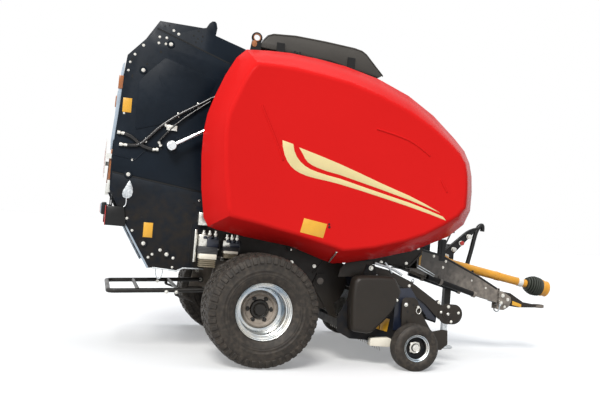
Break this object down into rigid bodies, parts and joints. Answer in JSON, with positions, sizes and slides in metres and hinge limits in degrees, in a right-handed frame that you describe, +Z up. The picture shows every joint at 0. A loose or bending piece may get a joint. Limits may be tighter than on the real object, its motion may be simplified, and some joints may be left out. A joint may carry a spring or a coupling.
{
  "type": "round baler",
  "caption": "Towed round baler with side covers, hinged tailgate, belts, pickup with gauge wheels, unloading ramp, drawbar, jack and drive shaft.",
  "frame": {"origin": "on the ground under the middle of the machine's length and width", "axes": "+X forwards to the hitch, +Y to the left, +Z up"},
  "size_m": [4.71, 2.564, 2.896],
  "materials": {
    "cover_red": "bright red gloss shell",
    "dark_paint": "blue-black satin paint on steel plate",
    "grey_paint": "taupe-grey satin paint on steel plate",
    "black_paint": "black paint on steel tube",
    "galvanised": "zinc-coated steel",
    "chrome_rod": "hard-chromed piston rod",
    "silver_rim": "silver painted rim",
    "tyre_rubber": "tyre rubber",
    "belt_rubber": "woven rubber belt",
    "guard_yellow": "orange-yellow moulded guard",
    "cast_grey": "painted casting",
    "lamp_red": "red lamp lens",
    "board_white": "marker board, red and white stripes",
    "zinc_hub": "dark hub",
    "roller_steel": "bare roller steel"
  },
  "bodies": {
    "chassis": {"right_chamber_wall": "grey_paint", "left_chamber_wall": "grey_paint", "chassis_crossmembers": "grey_paint", "axle_brackets": "grey_paint", "axle_beam": "grey_paint", "chassis_rollers": "roller_steel", "chassis_belts": "belt_rubber", "front_guard": "grey_paint", "net_box": "dark_paint", "roof_fairing": "dark_paint", "roof_stays": "black_paint", "drawbar": "grey_paint", "drawbar_tubes": "dark_paint", "hitch_tongue": "grey_paint", "gearbox": "cast_grey", "drive_case": "dark_paint", "jack_sleeve": "black_paint", "hose_rack": "black_paint", "shaft_hanger": "black_paint", "cover_hinges": "grey_paint", "rotor_floor": "grey_paint"},
    "wheel_right": {"right_tyre": "tyre_rubber", "right_rim": "silver_rim", "right_hub": "zinc_hub"},
    "wheel_left": {"left_tyre": "tyre_rubber", "left_rim": "silver_rim", "left_hub": "zinc_hub"},
    "tailgate": {"right_tailgate_side": "dark_paint", "left_tailgate_side": "dark_paint", "tailgate_crossmembers": "dark_paint", "tailgate_rollers": "roller_steel", "tailgate_belts": "belt_rubber", "lamp_bar": "dark_paint", "rear_lamps": "lamp_red", "marker_boards": "board_white"},
    "lift_barrel_right": {"right_lift_barrel": "black_paint"},
    "lift_rod_right": {"right_lift_rod": "chrome_rod"},
    "lift_barrel_left": {"left_lift_barrel": "black_paint"},
    "lift_rod_left": {"left_lift_rod": "chrome_rod"},
    "cover_right": {"right_cover": "cover_red"},
    "cover_left": {"left_cover": "cover_red"},
    "net_lid": {"net_lid": "cover_red"},
    "pickup": {"pickup_frame": "dark_paint", "pickup_sides": "dark_paint", "pickup_bands": "galvanised", "pickup_end_boxes": "grey_paint", "gauge_arms": "grey_paint"},
    "reel": {"pickup_reel": "roller_steel"},
    "gauge_wheel_right": {"right_gauge_tyre": "tyre_rubber", "right_gauge_rim": "silver_rim"},
    "gauge_wheel_left": {"left_gauge_tyre": "tyre_rubber", "left_gauge_rim": "silver_rim"},
    "wind_guard": {"wind_guard": "grey_paint"},
    "crop_roller": {"crop_roller": "black_paint"},
    "feed_rotor": {"feed_rotor": "grey_paint"},
    "ramp": {"bale_ramp": "black_paint"},
    "jack_leg": {"jack_leg": "galvanised"},
    "shaft_rear": {"rear_shaft_guard": "guard_yellow"},
    "shaft_front": {"front_shaft_guard": "guard_yellow"},
    "drive_yoke": {"drive_yoke": "roller_steel"}
  },
  "joints": [
    {"name": "wheel_right_spin", "type": "hinge", "parent": "chassis", "child": "wheel_right", "pos_m": [-1.035, -1.032, 0.466], "axis": [0, 1, 0], "continuous": true},
    {"name": "wheel_left_spin", "type": "hinge", "parent": "chassis", "child": "wheel_left", "pos_m": [-1.035, 1.032, 0.466], "axis": [0, 1, 0], "continuous": true},
    {"name": "tailgate_lift", "type": "hinge", "parent": "chassis", "child": "tailgate", "pos_m": [-1.185, 0, 2.52], "axis": [0, 1, 0], "range_deg": [0, 62]},
    {"name": "lift_barrel_right_swing", "type": "hinge", "parent": "chassis", "child": "lift_barrel_right", "pos_m": [-0.765, -0.745, 2.4], "axis": [0, 1, 0], "range_deg": [0, 46]},
    {"name": "lift_barrel_left_swing", "type": "hinge", "parent": "chassis", "child": "lift_barrel_left", "pos_m": [-0.765, 0.745, 2.4], "axis": [0, 1, 0], "range_deg": [0, 46]},
    {"name": "lift_rod_right_slide", "type": "slide", "parent": "lift_barrel_right", "child": "lift_rod_right", "axis": [-0.8617, 0, -0.5074], "range_m": [0, 0.22]},
    {"name": "lift_rod_left_slide", "type": "slide", "parent": "lift_barrel_left", "child": "lift_rod_left", "axis": [-0.8617, 0, -0.5074], "range_m": [0, 0.22]},
    {"name": "cover_right_lift", "type": "hinge", "parent": "chassis", "child": "cover_right", "pos_m": [-0.785, -0.8, 2.59], "axis": [-1, 0, 0], "range_deg": [0, 60]},
    {"name": "cover_left_lift", "type": "hinge", "parent": "chassis", "child": "cover_left", "pos_m": [-0.785, 0.8, 2.59], "axis": [1, 0, 0], "range_deg": [0, 60]},
    {"name": "net_lid_lift", "type": "hinge", "parent": "chassis", "child": "net_lid", "pos_m": [0.581, 0, 1.6485], "axis": [0, -1, 0], "range_deg": [0, 75]},
    {"name": "pickup_lift", "type": "hinge", "parent": "chassis", "child": "pickup", "pos_m": [-0.415, 0, 0.7], "axis": [0, -1, 0], "range_deg": [0, 10]},
    {"name": "reel_spin", "type": "hinge", "parent": "pickup", "child": "reel", "pos_m": [0.065, 0, 0.375], "axis": [0, 1, 0], "continuous": true},
    {"name": "gauge_wheel_right_spin", "type": "hinge", "parent": "pickup", "child": "gauge_wheel_right", "pos_m": [0.355, -1.1075, 0.203], "axis": [0, 1, 0], "continuous": true},
    {"name": "gauge_wheel_left_spin", "type": "hinge", "parent": "pickup", "child": "gauge_wheel_left", "pos_m": [0.355, 1.1075, 0.203], "axis": [0, 1, 0], "continuous": true},
    {"name": "wind_guard_swing", "type": "hinge", "parent": "pickup", "child": "wind_guard", "pos_m": [-0.035, 0, 0.86], "axis": [0, -1, 0], "range_deg": [-14, 0]},
    {"name": "crop_roller_spin", "type": "hinge", "parent": "wind_guard", "child": "crop_roller", "pos_m": [0.745, 0, 0.486], "axis": [0, 1, 0], "continuous": true},
    {"name": "feed_rotor_spin", "type": "hinge", "parent": "chassis", "child": "feed_rotor", "pos_m": [-0.415, 0, 0.7], "axis": [0, 1, 0], "continuous": true},
    {"name": "ramp_tilt", "type": "hinge", "parent": "chassis", "child": "ramp", "pos_m": [-1.335, 0, 0.56], "axis": [0, -1, 0], "range_deg": [0, 22], "stiffness_Nm_per_rad": 900, "springref_deg": -28.65},
    {"name": "jack_leg_slide", "type": "slide", "parent": "chassis", "child": "jack_leg", "axis": [0, 0, 1], "range_m": [0, 0.28]},
    {"name": "shaft_pitch", "type": "hinge", "parent": "chassis", "child": "shaft_rear", "pos_m": [0.965, 0, 0.949], "axis": [0, -1, 0], "range_deg": [0, 20]},
    {"name": "shaft_slide", "type": "slide", "parent": "shaft_rear", "child": "shaft_front", "axis": [0.9845, 0, -0.1754], "range_m": [0, 0.25]},
    {"name": "yoke_spin", "type": "hinge", "parent": "shaft_front", "child": "drive_yoke", "pos_m": [2.24485, 0, 0.72102], "axis": [0.9845, 0, -0.1754], "continuous": true}
  ],
  "couplings": [
    {"joint": "lift_barrel_right_swing", "follows": "tailgate_lift", "ratio": 0.715},
    {"joint": "lift_rod_right_slide", "follows": "tailgate_lift", "m_per_rad": 0.191},
    {"joint": "lift_barrel_left_swing", "follows": "tailgate_lift", "ratio": 0.715},
    {"joint": "lift_rod_left_slide", "follows": "tailgate_lift", "m_per_rad": 0.191}
  ]
}
